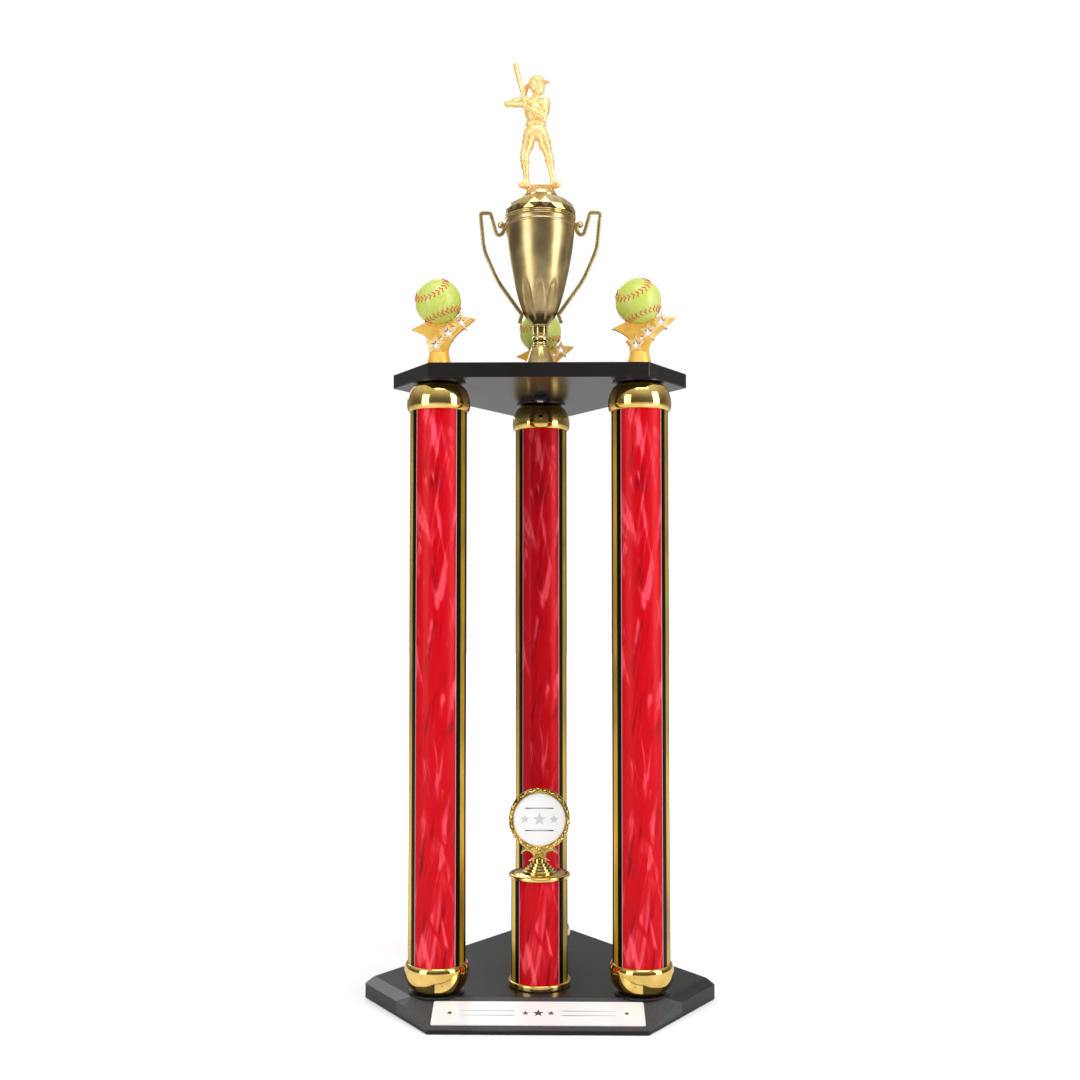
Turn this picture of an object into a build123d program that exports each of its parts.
"""Three-post tower trophy with a lidded cup, a softball batter and three ball risers.

Millimetres, +Z up, +Y towards the back. The origin is under the middle of the base board,
on the surface that the trophy stands on. Each sub-part is written to parts/NAME.step.
"""
import math
import os

from build123d import *

# Base board: a six-sided plan with a deep sloping front for the name plate
BASE_THICKNESS = 18.0
BASE_DEPTH = 298.0
BASE_FRONT_WIDTH = 197.0
BASE_SIDE_WIDTH = 338.0
BASE_BACK_WIDTH = 66.0
BASE_CORNER_SETBACK = 107.0     # front edge back to the two widest corners
SLOPE_DEPTH = 51.3
SLOPE_LIP = 3.4                 # upright face left under the front slope
SIDE_SLOPE_WIDTH = 12.0
SIDE_SLOPE_HEIGHT = 4.0
EDGE_BREAK = 0.7
COUNTERBORE_RADIUS = 10.0
COUNTERBORE_DEPTH = 9.0

# Name plate, stuck to the front slope
PLATE_WIDTH = 192.0
PLATE_HEIGHT = 36.5
PLATE_THICKNESS = 0.8
PLATE_CORNER = 1.5

# Deck board on top of the posts
DECK_THICKNESS = 14.0
DECK_DEPTH = 262.0
DECK_FRONT_WIDTH = 206.6
DECK_SIDE_WIDTH = 288.2
DECK_BACK_WIDTH = 62.0
DECK_CORNER_SETBACK = 67.7
DECK_FRONT_OVERHANG = 34.0      # deck front edge ahead of the front posts

# Posts
BOARD_SPACING = 574.0           # base top to deck underside
POST_SPACING = 192.0            # between the two front posts
POST_SETBACK = 68.0             # base front edge to the front posts
BACK_POST_SETBACK = 140.0       # front posts to the back post
TUBE_RADIUS = 26.7
TUBE_WALL = 1.6
FILM_THICKNESS = 0.25
FILM_GAP = 0.05                 # adhesive layer under the film
COLLAR_RADIUS = 26.0
COLLAR_THICKNESS = 1.2
CAP_FOOT_RADIUS = 18.0
CAP_RIM_WIDTH = 3.1             # rim of the cap, round the film
CAP_HEIGHT = 27.0
CAP_SEAT_HEIGHT = 15.0          # cap foot to the ledge that the tube stands on
CAP_FLOOR = 2.5
CAP_GAP = 0.1                   # round the film, inside the cap
LEDGE_WIDTH = 1.5

# Threaded rods, jam nuts and washers of one size (a quarter inch)
ROD_RADIUS = 3.175
ROD_CHAMFER = 0.6
ROD_HOLE_GAP = 0.325
THREAD_GAP = 0.05
NUT_FLATS = 11.1
NUT_THICKNESS = 4.0
WASHER_RADIUS = 7.95
WASHER_THICKNESS = 1.6
ROD_PROUD = 1.6                 # thread left past a nut
NUT_CLEARANCE = 0.6             # round and over a nut inside a hollow foot

# Ball risers
RISER_FOOT_RADIUS = 13.0
RISER_COLLAR_RADIUS = 9.2
RISER_FOOT_HEIGHT = 14.3
RISER_BEAD = 0.6                # the foot's upper bead: how far it stands out, and its height
RISER_BEAD_HEIGHT = 2.4
RISER_THICKNESS = 6.0
RISER_ROD_REACH = 13.0          # rod above the deck top, inside the riser foot
BALL_RADIUS = 22.15
BALL_OFFSET = -0.9
BALL_SEAT_HEIGHT = 42.15        # lowest point of the ball above the deck top
BALL_SEAT_GAP = 0.1
STAR_CUT_RADIUS = 4.4
STAR_FRAME_RADIUS = 9.6
STAR_WAIST = 0.45               # inner corners over points of a star
STAR_FRAME_RISE = 0.8
STAR_PLACES = [(-3.0, 22.6), (8.6, 34.4), (21.0, 44.8)]
DROP_HOLES = [((2.0, 28.8), 2.8, 3.7), ((13.7, 39.6), 3.4, 2.5)]
# Crescent outline above the foot, anticlockwise from the foot's right edge
CRESCENT_RIGHT = [(9.2, 14.3), (9.4, 18.5), (11.6, 24.6), (17.3, 32.4), (23.6, 38.2), (34.6, 47.6)]
CRESCENT_TOP = [(34.6, 47.6), (22.0, 49.8), (-12.2, 44.4), (-26.2, 37.4)]
CRESCENT_LEFT = [(-26.2, 37.4), (-18.4, 34.6), (-9.3, 27.6)]
CRESCENT_BARB = [(-9.3, 27.6), (-12.8, 25.6), (-9.4, 21.2), (-8.9, 14.3)]

# Short centre column with the wreath insert holder
COLUMN_HEIGHT = 101.6           # base top to the underside of the top plate
COLUMN_SETBACK = 25.0           # behind the front posts
COLUMN_RIM_WIDTH = 2.9
COLUMN_RIM_HEIGHT = 6.0
COLUMN_FLOOR = 2.0
COLUMN_ROUND = 1.2              # flats that round off the rim and the top plate
COLUMN_PLATE_OVERHANG = 2.8     # top plate beyond the tube
COLUMN_PLATE_THICKNESS = 4.0
COLUMN_PLUG_DEPTH = 5.0
PLUG_GAP = 0.1
HOLDER_STEPS = [(16.4, 2.3), (13.6, 2.2), (11.2, 2.3), (8.6, 2.4), (5.6, 4.0)]
HOLDER_BORE_DEPTH = 11.4
HOLDER_ROD_REACH = 10.6
DISC_HEIGHT = 50.6              # disc centre above the column's top plate
INSERT_RADIUS = 25.3
INSERT_THICKNESS = 1.4
INSERT_GAP = 0.1
INSERT_RECESS = 2.2
HOLDER_RIM_WIDTH = 4.3          # wreath ring round the insert
HOLDER_THICKNESS = 6.0
STEM_THICKNESS = 5.0
BITE_RADIUS = 6.9
BITE_PLACE = (11.3, 15.2)       # centre of the side bites, from the holder's axis and foot
HORN_RADIUS = 9.4
HORN_PLACE = (8.5, 15.9)
STEM_LEAF = [(-5.5, 9.4), (5.5, 9.4), (10.4, 11.2), (4.8, 16.4), (4.8, 24.0), (-4.8, 24.0),
             (-4.8, 16.4), (-10.4, 11.2)]

# Cup on the deck
CUP_SETBACK = 74.0              # behind the front posts
FOOT_RADIUS = 22.0
FOOT_HEIGHT = 36.1
FOOT_LIP = 1.6                  # upright edge of the foot
FOOT_MIDDLE = (13.2, 21.4)      # radius and height of the waist of the foot's flare
STEM_RADIUS = 7.7
STEM_HEIGHT = 21.2
KNOP_RADIUS = 8.6
KNOP_HEIGHT = 6.4               # middle of the knop above the foot
KNOP_WAIST = 7.3
BOWL_HEIGHT = 107.5
BOWL_WALL = 1.2
BOWL_FLOOR = 3.0
BOWL_PROFILE = [(7.9, 0.0), (11.8, 4.5), (16.0, 8.7), (18.4, 15.2), (24.2, 34.8), (32.8, 77.8)]
BOWL_RIM_RADIUS = 35.8
HANDLE_WIDTH = 3.0
HANDLE_CORNER = 0.7
HANDLE_GAP = 0.05
HANDLE_BALL_RADIUS = 2.7
HANDLE_BALL = (4.4, 103.4)
HANDLE_LINK_RADIUS = 1.2
# Handle centre line: distance out from the bowl's rim, height above the bowl's bottom
HANDLE_SCROLL = [(0.9, 104.6), (1.4, 97.0), (7.4, 88.8), (15.1, 115.9), (25.2, 115.9), (21.8, 78.0),
                 (7.8, 46.0)]
# Its lower end: distance from the cup's axis, height above the bowl's bottom
HANDLE_TAIL = [(18.6, 11.0), (21.3, 2.6)]
HANDLE_RADII = [6.0, 3.6, 2.8, 2.8, 60.0, 90.0, 1.8]
LID_HEIGHT = 23.1
LID_WALL = 1.6
LID_LIP_HEIGHT = 4.0
LID_GAP = 0.5                   # round the lip, inside the tapering bowl
LID_TOP_RADIUS = 18.0
LID_PROFILE = [(0.4, 4.4), (-0.4, 9.6), (-3.4, 15.4), (-9.4, 20.0)]    # from the bowl's rim
STUD_REACH = 8.4                # stud above the lid, inside the figure's base

# Figure on the lid
FIGURE_BASE_RADIUS = 18.6
FIGURE_BASE_TOP_RADIUS = 11.6
FIGURE_BASE_HEIGHT = 10.2
FIGURE_BASE_LIP = 1.2
FIGURE_PLATE = (20.0, 11.0, 3.0)
BAT_GRIP = (-14.6, -10.0, 79.0)
BAT_TIP = (-25.0, 0.0, 128.2)
BAT_RADII = (1.5, 2.3)
# Limbs: start, end and their two radii, from the middle of the figure's base top
LIMBS = {
    "front_shin": ((-16.1, -1.0, 32.0), (-14.1, 1.0, 10.5), 4.6, 3.2),
    "front_thigh": ((-10.8, 0.0, 54.0), (-16.1, -1.0, 32.0), 6.8, 4.6),
    "front_shoe": ((-12.8, 1.5, 3.3), (-20.2, -5.0, 2.4), 3.3, 2.4),
    "front_ankle": ((-14.1, 1.0, 10.5), (-13.4, 1.5, 3.3), 3.2, 3.3),
    "rear_shin": ((8.8, -1.0, 32.0), (13.0, 1.0, 10.5), 4.6, 3.2),
    "rear_thigh": ((1.8, 0.0, 54.0), (8.8, -1.0, 32.0), 6.8, 4.6),
    "rear_shoe": ((12.0, 1.5, 3.3), (19.2, -5.0, 2.4), 3.3, 2.4),
    "rear_ankle": ((13.0, 1.0, 10.5), (12.4, 1.5, 3.3), 3.2, 3.3),
    "raised_arm": ((-14.6, 0.5, 90.6), (-33.2, -2.0, 87.6), 5.0, 3.6),
    "raised_forearm": ((-33.2, -2.0, 87.6), (-16.6, -9.4, 84.6), 3.6, 2.8),
    "low_arm": ((4.6, 0.0, 89.6), (3.4, -6.0, 70.0), 4.8, 3.7),
    "low_forearm": ((3.4, -6.0, 70.0), (-14.8, -9.8, 82.0), 3.7, 2.7),
    "hands": ((-15.0, -10.0, 81.4), (-16.0, -9.2, 86.0), 3.3, 3.3),
    "neck": ((-4.4, 0.0, 90.0), (-3.2, -0.6, 99.0), 4.2, 3.8),
    "ponytail": ((-11.6, 3.0, 110.0), (-16.8, 4.0, 105.0), 2.8, 3.0),
}
# Torso sections: middle, height, half width, half depth
TORSO = [(-4.5, 50.0, 9.4, 7.0), (-4.6, 58.0, 12.4, 8.2), (-4.7, 68.0, 10.4, 7.0),
         (-4.9, 80.0, 11.8, 8.0), (-4.9, 89.0, 12.4, 7.6), (-4.7, 95.0, 6.4, 5.0)]
HEAD_CENTRE = (-3.2, -0.6, 106.0)
HEAD_RADIUS = 7.9
HEAD_HALF_HEIGHT = 10.4
PEAK = (6.4, 1.3)               # radius and thickness of the helmet's peak
PEAK_OFFSET = (4.2, -2.6, -0.8)

# Places worked out from the sizes above
FRONT_Y = -BASE_DEPTH / 2
POST_Y = FRONT_Y + POST_SETBACK
DECK_UNDER = BASE_THICKNESS + BOARD_SPACING
DECK_TOP = DECK_UNDER + DECK_THICKNESS
POSTS = {
    "left": (-POST_SPACING / 2, POST_Y),
    "right": (POST_SPACING / 2, POST_Y),
    "back": (0.0, POST_Y + BACK_POST_SETBACK),
}
COLUMN = (0.0, POST_Y + COLUMN_SETBACK)
CUP = (0.0, POST_Y + CUP_SETBACK)
COLUMN_TOP = BASE_THICKNESS + COLUMN_HEIGHT + COLUMN_PLATE_THICKNESS
SLEEVE_RADIUS = TUBE_RADIUS + FILM_GAP + FILM_THICKNESS + CAP_GAP
CAP_RIM_RADIUS = SLEEVE_RADIUS + CAP_RIM_WIDTH
COLUMN_RIM_RADIUS = SLEEVE_RADIUS + COLUMN_RIM_WIDTH
COLUMN_PLATE_RADIUS = TUBE_RADIUS + COLUMN_PLATE_OVERHANG
HOLDER_RIM_RADIUS = INSERT_RADIUS + HOLDER_RIM_WIDTH
ROD_HOLE_RADIUS = ROD_RADIUS + ROD_HOLE_GAP
CLAMP_STACK = WASHER_THICKNESS + NUT_THICKNESS
BALL_HEIGHT = BALL_SEAT_HEIGHT + BALL_RADIUS
BOWL_BOTTOM = DECK_TOP + FOOT_HEIGHT + STEM_HEIGHT
LID_BOTTOM = BOWL_BOTTOM + BOWL_HEIGHT
LID_TOP = LID_BOTTOM + LID_HEIGHT
FIGURE_BOTTOM = LID_TOP + FIGURE_BASE_HEIGHT
ROD_RUN_RADIUS = ROD_RADIUS + THREAD_GAP
UPWARDS = (Align.CENTER, Align.CENTER, Align.MIN)


def save(name, shape):
    export_step(shape, f"parts/{name}.step")


def place(shape, spot, z=0.0):
    return Pos(spot[0], spot[1], z) * shape


def disc(radius, thickness, z=0.0):
    return Pos(0, 0, z) * Cylinder(radius, thickness, align=UPWARDS)


def ring(radius, hole, thickness, z=0.0):
    return disc(radius, thickness, z) - disc(hole, thickness, z)


def turned(*edges):
    """A solid turned about Z from edges drawn as radius and height."""
    return revolve(make_face(Plane.XZ * Wire(edges)), Axis.Z)


def turned_outline(points):
    return revolve(make_face(Plane.XZ * Polyline(points, close=True)), Axis.Z)


def six_sided(front_y, depth, front, side, back, setback, thickness):
    """A board with a wide front edge, two side corners and a narrow back edge."""
    half = [(front / 2, front_y), (side / 2, front_y + setback), (back / 2, front_y + depth)]
    outline = half + [(-x, y) for x, y in reversed(half)]
    board = extrude(make_face(Polyline(outline, close=True)), thickness)
    return chamfer(board.edges(), EDGE_BREAK)


def rod_holes(spots, radius, z, depth):
    return [place(disc(radius, depth), spot, z) for spot in spots]


def base_board():
    board = six_sided(FRONT_Y, BASE_DEPTH, BASE_FRONT_WIDTH, BASE_SIDE_WIDTH, BASE_BACK_WIDTH,
                      BASE_CORNER_SETBACK, BASE_THICKNESS)
    slope = Polyline((FRONT_Y, SLOPE_LIP), (FRONT_Y + SLOPE_DEPTH, BASE_THICKNESS),
                     (FRONT_Y + SLOPE_DEPTH, 2 * BASE_THICKNESS),
                     (FRONT_Y - SLOPE_DEPTH, 2 * BASE_THICKNESS),
                     (FRONT_Y - SLOPE_DEPTH, SLOPE_LIP), close=True)
    board -= extrude(make_face(Plane.YZ * slope), BASE_SIDE_WIDTH, both=True)
    run = (BASE_SIDE_WIDTH - BASE_FRONT_WIDTH) / 2
    tilt = math.degrees(math.atan2(BASE_CORNER_SETBACK, run))
    bite = Polyline((0, BASE_THICKNESS - SIDE_SLOPE_HEIGHT), (-SIDE_SLOPE_WIDTH, BASE_THICKNESS),
                    (-SIDE_SLOPE_WIDTH, 2 * BASE_THICKNESS), (SIDE_SLOPE_WIDTH, 2 * BASE_THICKNESS),
                    (SIDE_SLOPE_WIDTH, BASE_THICKNESS - SIDE_SLOPE_HEIGHT), close=True)
    bite = extrude(make_face(Plane.XZ * bite), BASE_SIDE_WIDTH, both=True)
    right = Pos(BASE_FRONT_WIDTH / 2, FRONT_Y, 0) * Rot(0, 0, tilt - 90) * bite
    board -= right
    board -= mirror(right, Plane.YZ)
    spots = list(POSTS.values()) + [COLUMN]
    board -= rod_holes(spots, ROD_HOLE_RADIUS, 0, BASE_THICKNESS)
    board -= rod_holes(spots, COUNTERBORE_RADIUS, 0, COUNTERBORE_DEPTH)
    return board


def name_plate():
    rise = BASE_THICKNESS - SLOPE_LIP
    slope = math.atan2(rise, SLOPE_DEPTH)
    middle = (0, FRONT_Y + SLOPE_DEPTH / 2, SLOPE_LIP + rise / 2)
    face = Plane(origin=middle, x_dir=(1, 0, 0), z_dir=(0, -math.sin(slope), math.cos(slope)))
    return extrude(face * RectangleRounded(PLATE_WIDTH, PLATE_HEIGHT, PLATE_CORNER), PLATE_THICKNESS)


def deck_board():
    board = six_sided(POST_Y - DECK_FRONT_OVERHANG, DECK_DEPTH, DECK_FRONT_WIDTH, DECK_SIDE_WIDTH,
                      DECK_BACK_WIDTH, DECK_CORNER_SETBACK, DECK_THICKNESS)
    board = Pos(0, 0, DECK_UNDER) * board
    return board - rod_holes(list(POSTS.values()) + [CUP], ROD_HOLE_RADIUS, DECK_UNDER, DECK_THICKNESS)


def post_cap():
    """A bowl-shaped end cap, foot down, with a ledge inside for the tube."""
    floor_radius = CAP_FOOT_RADIUS - LEDGE_WIDTH
    ledge_radius = SLEEVE_RADIUS - TUBE_WALL - LEDGE_WIDTH / 2
    bell = EllipticalCenterArc((CAP_FOOT_RADIUS, CAP_HEIGHT), CAP_RIM_RADIUS - CAP_FOOT_RADIUS,
                               CAP_HEIGHT, start_angle=270, arc_size=90)
    inside = Polyline((CAP_RIM_RADIUS, CAP_HEIGHT), (SLEEVE_RADIUS, CAP_HEIGHT),
                      (SLEEVE_RADIUS, CAP_SEAT_HEIGHT), (ledge_radius, CAP_SEAT_HEIGHT),
                      (floor_radius, CAP_FLOOR), (ROD_HOLE_RADIUS, CAP_FLOOR), (ROD_HOLE_RADIUS, 0),
                      (CAP_FOOT_RADIUS, 0))
    return turned(bell, *inside.edges())


def tube(length):
    return ring(TUBE_RADIUS, TUBE_RADIUS - TUBE_WALL, length)


def film(length):
    inner = TUBE_RADIUS + FILM_GAP
    return ring(inner + FILM_THICKNESS, inner, length)


def rod(bottom, top):
    return Pos(0, 0, bottom) * chamfer(disc(ROD_RADIUS, top - bottom).edges(), ROD_CHAMFER)


def nut():
    flats = extrude(RegularPolygon(NUT_FLATS / 2, 6, major_radius=False), NUT_THICKNESS)
    return flats - disc(ROD_RUN_RADIUS, NUT_THICKNESS)


def washer():
    return ring(WASHER_RADIUS, ROD_HOLE_RADIUS, WASHER_THICKNESS)


def clamp_space(height=0.0):
    """Room for a washer and a nut on the surface that a hollow foot stands on."""
    nut_room = NUT_FLATS / 2 / math.cos(math.radians(30)) + NUT_CLEARANCE
    room = disc(WASHER_RADIUS + NUT_CLEARANCE, WASHER_THICKNESS + NUT_CLEARANCE, height)
    return room + disc(nut_room, CLAMP_STACK + NUT_CLEARANCE, height)


def star(radius, middle):
    corners = []
    for corner in range(10):
        reach = radius if corner % 2 == 0 else radius * STAR_WAIST
        angle = math.radians(90 + 36 * corner)
        corners.append((middle[0] + reach * math.cos(angle), middle[1] + reach * math.sin(angle)))
    return make_face(Polyline(corners, close=True))


def riser():
    """Crescent plate with cut-out stars on a hollow flared foot, to carry a ball."""
    edges = [Spline(CRESCENT_RIGHT), Line(CRESCENT_TOP[0], CRESCENT_TOP[1]),
             Line(CRESCENT_TOP[1], CRESCENT_TOP[2]), Line(CRESCENT_TOP[2], CRESCENT_TOP[3]),
             Spline(CRESCENT_LEFT), *Polyline(CRESCENT_BARB).edges(),
             Line(CRESCENT_BARB[-1], CRESCENT_RIGHT[0])]
    flat = make_face(Wire(edges))
    plate = extrude(Plane.XZ * flat, RISER_THICKNESS / 2, both=True)
    for place_of_star in STAR_PLACES:
        frame = Plane.XZ * star(STAR_FRAME_RADIUS, place_of_star)
        plate += extrude(frame, RISER_THICKNESS / 2 + STAR_FRAME_RISE, both=True)
    foot = turned_outline([(0, 0), (RISER_FOOT_RADIUS, 0),
                           (RISER_COLLAR_RADIUS + RISER_BEAD, RISER_FOOT_HEIGHT - RISER_BEAD_HEIGHT),
                           (RISER_COLLAR_RADIUS, RISER_FOOT_HEIGHT), (0, RISER_FOOT_HEIGHT)])
    body = plate + foot
    for place_of_star in STAR_PLACES:
        body -= extrude(Plane.XZ * star(STAR_CUT_RADIUS, place_of_star), RISER_THICKNESS, both=True)
    for middle, half_width, half_height in DROP_HOLES:
        hole = Plane.XZ * (Pos(*middle) * Ellipse(half_width / 2, half_height / 2))
        body -= extrude(hole, RISER_THICKNESS, both=True)
    body -= Pos(BALL_OFFSET, 0, BALL_HEIGHT) * Sphere(BALL_RADIUS + BALL_SEAT_GAP)
    body -= clamp_space()
    return body - disc(ROD_RUN_RADIUS, RISER_ROD_REACH + NUT_CLEARANCE)


def ball():
    return Pos(BALL_OFFSET, 0, BALL_HEIGHT) * Sphere(BALL_RADIUS)


def column_rim():
    outline = [(ROD_HOLE_RADIUS, 0), (COLUMN_RIM_RADIUS - COLUMN_ROUND, 0),
               (COLUMN_RIM_RADIUS, COLUMN_ROUND), (COLUMN_RIM_RADIUS, COLUMN_RIM_HEIGHT - COLUMN_ROUND),
               (COLUMN_RIM_RADIUS - COLUMN_ROUND, COLUMN_RIM_HEIGHT), (SLEEVE_RADIUS, COLUMN_RIM_HEIGHT),
               (SLEEVE_RADIUS, COLUMN_FLOOR), (ROD_HOLE_RADIUS, COLUMN_FLOOR)]
    return turned_outline(outline)


def column_plate():
    plug = TUBE_RADIUS - TUBE_WALL - PLUG_GAP
    outline = [(ROD_HOLE_RADIUS, -COLUMN_PLUG_DEPTH), (plug, -COLUMN_PLUG_DEPTH), (plug, 0),
               (COLUMN_PLATE_RADIUS - COLUMN_ROUND, 0), (COLUMN_PLATE_RADIUS, COLUMN_ROUND),
               (COLUMN_PLATE_RADIUS, COLUMN_PLATE_THICKNESS - COLUMN_ROUND),
               (COLUMN_PLATE_RADIUS - COLUMN_ROUND, COLUMN_PLATE_THICKNESS),
               (ROD_HOLE_RADIUS, COLUMN_PLATE_THICKNESS)]
    return turned_outline(outline)


def wreath_holder():
    """Round insert holder on a stem with two horns, standing on a stepped foot."""
    body = disc(*HOLDER_STEPS[0])
    height = HOLDER_STEPS[0][1]
    for radius, step in HOLDER_STEPS[1:]:
        body += disc(radius, step, height)
        height += step
    horn = Pos(*HORN_PLACE) * Circle(HORN_RADIUS)
    horns = horn + mirror(horn, Plane.YZ)
    horns &= Pos(0, BITE_PLACE[1] + HORN_RADIUS) * Rectangle(8 * HORN_RADIUS, 2 * HORN_RADIUS)
    stem = make_face(Polyline(STEM_LEAF, close=True)) + horns
    for side in (-1, 1):
        stem -= Pos(side * BITE_PLACE[0], BITE_PLACE[1]) * Circle(BITE_RADIUS)
    body += extrude(Plane.XZ * stem, STEM_THICKNESS / 2, both=True)
    face_plane = Plane(origin=(0, -HOLDER_THICKNESS / 2, DISC_HEIGHT), z_dir=(0, -1, 0))
    body += extrude(face_plane * Circle(HOLDER_RIM_RADIUS), -HOLDER_THICKNESS)
    body -= extrude(face_plane * Circle(INSERT_RADIUS + INSERT_GAP), -INSERT_RECESS)
    body -= clamp_space()
    return body - disc(ROD_RUN_RADIUS, HOLDER_BORE_DEPTH)


def insert_disc():
    seat = Plane(origin=(0, INSERT_RECESS - HOLDER_THICKNESS / 2, DISC_HEIGHT), z_dir=(0, -1, 0))
    return extrude(seat * Circle(INSERT_RADIUS), INSERT_THICKNESS)


def cup_foot():
    flare = Spline((FOOT_RADIUS, FOOT_LIP), FOOT_MIDDLE, (KNOP_RADIUS, FOOT_HEIGHT))
    rest = Polyline((KNOP_RADIUS, FOOT_HEIGHT), (ROD_HOLE_RADIUS, FOOT_HEIGHT), (ROD_HOLE_RADIUS, 0),
                    (FOOT_RADIUS, 0), (FOOT_RADIUS, FOOT_LIP))
    return turned(flare, *rest.edges())


def cup_stem():
    """The knop and the plain neck between the foot and the bowl."""
    knop = Spline((KNOP_WAIST, 0), (KNOP_RADIUS, KNOP_HEIGHT), (STEM_RADIUS, 2 * KNOP_HEIGHT))
    rest = Polyline((STEM_RADIUS, 2 * KNOP_HEIGHT), (STEM_RADIUS, STEM_HEIGHT),
                    (ROD_HOLE_RADIUS, STEM_HEIGHT), (ROD_HOLE_RADIUS, 0), (KNOP_WAIST, 0))
    return turned(knop, *rest.edges())


def bowl_side(inset):
    """The bowl's side as a curve, moved inwards by a wall's thickness."""
    points = [(radius - inset, height) for radius, height in BOWL_PROFILE[1:]]
    start = (BOWL_PROFILE[0][0] - inset, BOWL_PROFILE[0][1])
    return Spline(start, *points, (BOWL_RIM_RADIUS - inset, BOWL_HEIGHT))


def bowl_blank(inset):
    side = bowl_side(inset)
    rest = Polyline(side @ 1, (0, BOWL_HEIGHT), (0, 0), side @ 0)
    return turned(side, *rest.edges())


def cup_bowl():
    above_floor = Pos(0, 0, BOWL_FLOOR) * Cylinder(2 * BOWL_RIM_RADIUS, BOWL_HEIGHT, align=UPWARDS)
    shell = bowl_blank(0.0) - (bowl_blank(BOWL_WALL) & above_floor)
    return shell - disc(ROD_HOLE_RADIUS, BOWL_FLOOR)


def cup_handle():
    """Right-hand handle: an open scroll in one plane, cut to lie against the bowl."""
    scroll = [(BOWL_RIM_RADIUS + out, height) for out, height in HANDLE_SCROLL]
    path = Plane.XZ * FilletPolyline(*scroll, *HANDLE_TAIL, radius=HANDLE_RADII)
    section = Plane(origin=path @ 0, z_dir=path % 0)
    bar = sweep(section * RectangleRounded(HANDLE_WIDTH, HANDLE_WIDTH, HANDLE_CORNER), path=path)
    bead_reach = BOWL_RIM_RADIUS + HANDLE_BALL[0]
    bead = Pos(bead_reach, 0, HANDLE_BALL[1]) * Sphere(HANDLE_BALL_RADIUS)
    link = Plane(origin=(0, 0, HANDLE_BALL[1]), z_dir=(1, 0, 0))
    bead += link * Cylinder(HANDLE_LINK_RADIUS, bead_reach, align=UPWARDS)
    return bar + bead - bowl_blank(-HANDLE_GAP)


def cup_lid():
    """Domed lid with a lip that drops inside the bowl's rim."""
    below_rim, below_height = BOWL_PROFILE[-1]
    taper = (BOWL_RIM_RADIUS - below_rim) / (BOWL_HEIGHT - below_height)
    lip_outer = BOWL_RIM_RADIUS - LID_LIP_HEIGHT * taper - BOWL_WALL - LID_GAP
    lip_inner = lip_outer - LID_WALL
    profile = [(BOWL_RIM_RADIUS + out, height) for out, height in LID_PROFILE]
    within = [(radius - LID_WALL, height - LID_WALL) for radius, height in reversed(profile)]
    outside = Spline((BOWL_RIM_RADIUS, 0), *profile)
    inside = Spline(*within, (lip_inner, -LID_LIP_HEIGHT))
    top = Polyline(profile[-1], (LID_TOP_RADIUS, LID_HEIGHT), (ROD_HOLE_RADIUS, LID_HEIGHT),
                   (ROD_HOLE_RADIUS, LID_HEIGHT - LID_WALL),
                   (LID_TOP_RADIUS - LID_WALL, LID_HEIGHT - LID_WALL), within[0])
    lip = Polyline((lip_inner, -LID_LIP_HEIGHT), (lip_outer, -LID_LIP_HEIGHT), (lip_outer, 0),
                   (BOWL_RIM_RADIUS, 0))
    return turned(outside, *top.edges(), inside, *lip.edges())


def figure_base():
    shape = turned_outline([(0, 0), (FIGURE_BASE_RADIUS, 0), (FIGURE_BASE_RADIUS, FIGURE_BASE_LIP),
                            (FIGURE_BASE_TOP_RADIUS, FIGURE_BASE_HEIGHT), (0, FIGURE_BASE_HEIGHT)])
    shape -= clamp_space()
    return shape - disc(ROD_RUN_RADIUS, STUD_REACH + NUT_CLEARANCE)


def limb(start, end, start_radius, end_radius):
    """A tapered bar with round ends between two points."""
    length = (Vector(*end) - Vector(*start)).length
    along = Plane(origin=start, z_dir=Vector(*end) - Vector(*start))
    first = CenterArc((0, 0), start_radius, 270, 90)
    last = CenterArc((0, length), end_radius, 0, 90)
    sides = Line((start_radius, 0), (end_radius, length))
    axis = Line((0, length + end_radius), (0, -start_radius))
    return along * turned(first, sides, last, axis)


def torso():
    sections = [Pos(x, 0, z) * Ellipse(half_width, half_depth) for x, z, half_width, half_depth in TORSO]
    return loft(sections)


def head():
    dome = EllipticalCenterArc((0, 0), HEAD_RADIUS, HEAD_HALF_HEIGHT, start_angle=-90, arc_size=180)
    skull = turned(dome, Line((0, HEAD_HALF_HEIGHT), (0, -HEAD_HALF_HEIGHT)))
    peak = Pos(*PEAK_OFFSET) * Cylinder(PEAK[0], PEAK[1])
    return Pos(*HEAD_CENTRE) * (skull + peak)


def batter():
    """Figure in a batting stance, with the bat, on a small stand plate."""
    width, depth, height = FIGURE_PLATE
    body = Box(width, depth, height, align=UPWARDS) + torso() + head()
    body += limb(BAT_GRIP, BAT_TIP, *BAT_RADII)
    for start, end, start_radius, end_radius in LIMBS.values():
        body += limb(start, end, start_radius, end_radius)
    return body


def group(shapes):
    return Compound(children=list(shapes))


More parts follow.
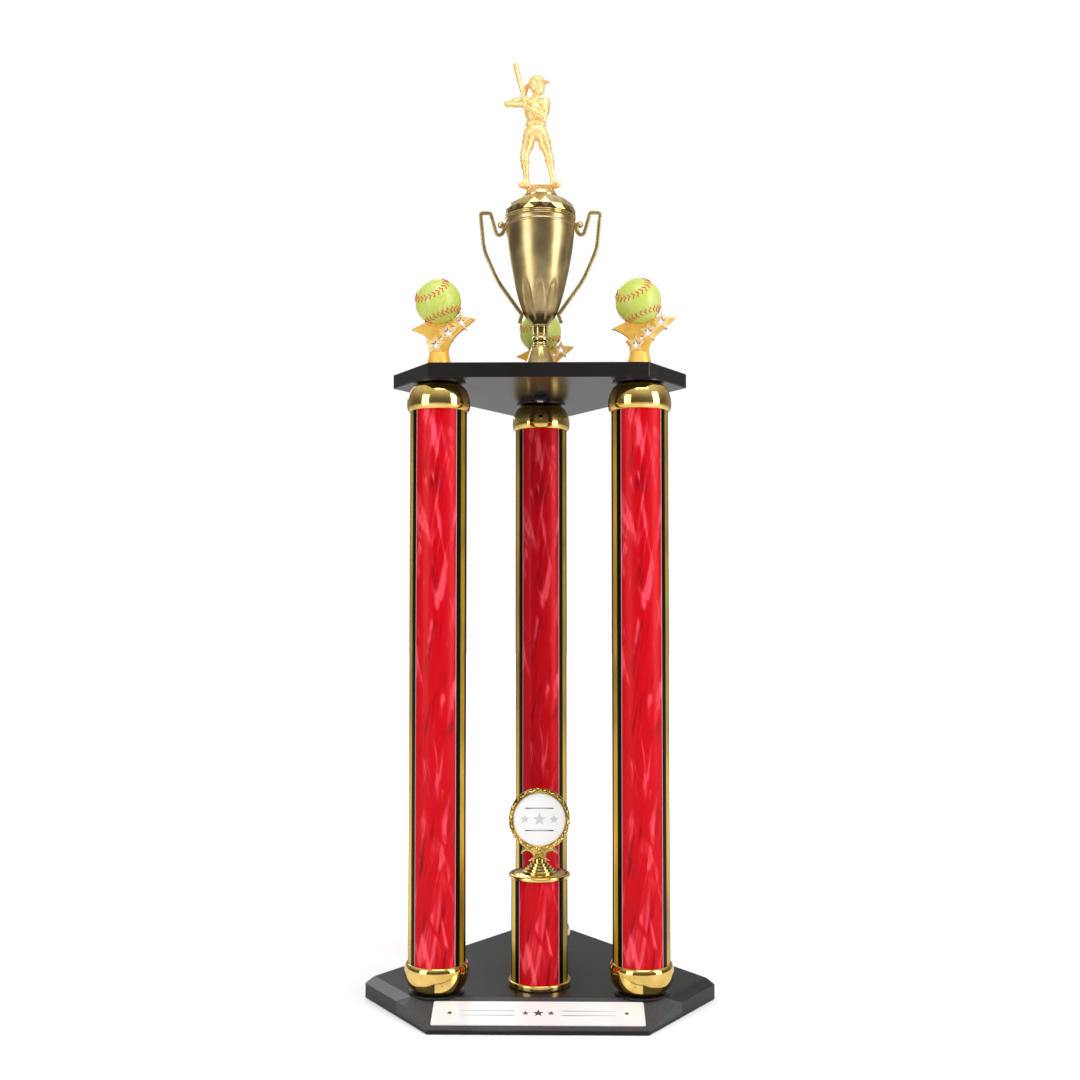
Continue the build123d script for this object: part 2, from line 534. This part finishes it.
def main():
    os.makedirs("parts", exist_ok=True)
    save("base_board", base_board())
    save("name_plate", name_plate())
    save("deck_board", deck_board())

    cap_bottom = BASE_THICKNESS + COLLAR_THICKNESS
    cap_top = DECK_UNDER - COLLAR_THICKNESS
    tube_bottom = cap_bottom + CAP_SEAT_HEIGHT
    tube_length = cap_top - CAP_SEAT_HEIGHT - tube_bottom
    rod_bottom = COUNTERBORE_DEPTH - CLAMP_STACK - ROD_PROUD
    collar = ring(COLLAR_RADIUS, ROD_HOLE_RADIUS, COLLAR_THICKNESS)
    for side, spot in POSTS.items():
        save(f"{side}_post_tube", place(tube(tube_length), spot, tube_bottom))
        save(f"{side}_post_film", place(film(tube_length), spot, tube_bottom))
        save(f"{side}_bottom_cap", place(post_cap(), spot, cap_bottom))
        save(f"{side}_top_cap", place(Rot(180, 0, 0) * post_cap(), spot, cap_top))
        save(f"{side}_post_rod", place(rod(rod_bottom, DECK_TOP + RISER_ROD_REACH), spot))
        save(f"{side}_riser", place(riser(), spot, DECK_TOP))
        save(f"{side}_ball", place(ball(), spot, DECK_TOP))
    collar_heights = (BASE_THICKNESS, cap_top)
    save("post_collars", group(place(collar, spot, z) for spot in POSTS.values() for z in collar_heights))

    column_tube_length = COLUMN_HEIGHT - COLUMN_FLOOR
    save("column_rim", place(column_rim(), COLUMN, BASE_THICKNESS))
    save("column_tube", place(tube(column_tube_length), COLUMN, BASE_THICKNESS + COLUMN_FLOOR))
    save("column_film", place(film(column_tube_length), COLUMN, BASE_THICKNESS + COLUMN_FLOOR))
    save("column_plate", place(column_plate(), COLUMN, BASE_THICKNESS + COLUMN_HEIGHT))
    save("column_rod", place(rod(rod_bottom, COLUMN_TOP + HOLDER_ROD_REACH), COLUMN))
    save("wreath_holder", place(wreath_holder(), COLUMN, COLUMN_TOP))
    save("insert_disc", place(insert_disc(), COLUMN, COLUMN_TOP))

    under = COUNTERBORE_DEPTH - WASHER_THICKNESS
    base_spots = list(POSTS.values()) + [COLUMN]
    save("base_washers", group(place(washer(), spot, under) for spot in base_spots))
    save("base_nuts", group(place(nut(), spot, under - NUT_THICKNESS) for spot in base_spots))
    tops = [(spot, DECK_TOP) for spot in POSTS.values()] + [(COLUMN, COLUMN_TOP)]
    save("clamp_washers", group(place(washer(), spot, z) for spot, z in tops))
    save("clamp_nuts", group(place(nut(), spot, z + WASHER_THICKNESS) for spot, z in tops))

    bowl_inside = BOWL_BOTTOM + BOWL_FLOOR
    save("cup_foot", place(cup_foot(), CUP, DECK_TOP))
    save("cup_stem", place(cup_stem(), CUP, DECK_TOP + FOOT_HEIGHT))
    save("cup_bowl", place(cup_bowl(), CUP, BOWL_BOTTOM))
    save("right_handle", place(cup_handle(), CUP, BOWL_BOTTOM))
    save("left_handle", place(mirror(cup_handle(), Plane.YZ), CUP, BOWL_BOTTOM))
    reach = CLAMP_STACK + ROD_PROUD
    save("cup_rod", place(rod(DECK_UNDER - reach, bowl_inside + reach), CUP))
    save("cup_washers", group([place(washer(), CUP, DECK_UNDER - WASHER_THICKNESS),
                               place(washer(), CUP, bowl_inside)]))
    save("cup_nuts", group([place(nut(), CUP, DECK_UNDER - CLAMP_STACK),
                            place(nut(), CUP, bowl_inside + WASHER_THICKNESS)]))

    lid_inside = LID_TOP - LID_WALL
    save("cup_lid", place(cup_lid(), CUP, LID_BOTTOM))
    save("figure_stud", place(rod(lid_inside - reach, LID_TOP + STUD_REACH), CUP))
    save("lid_washers", group([place(washer(), CUP, lid_inside - WASHER_THICKNESS),
                               place(washer(), CUP, LID_TOP)]))
    save("lid_nuts", group([place(nut(), CUP, lid_inside - CLAMP_STACK),
                            place(nut(), CUP, LID_TOP + WASHER_THICKNESS)]))
    save("figure_base", place(figure_base(), CUP, LID_TOP))
    save("batter", place(batter(), CUP, FIGURE_BOTTOM))


main()
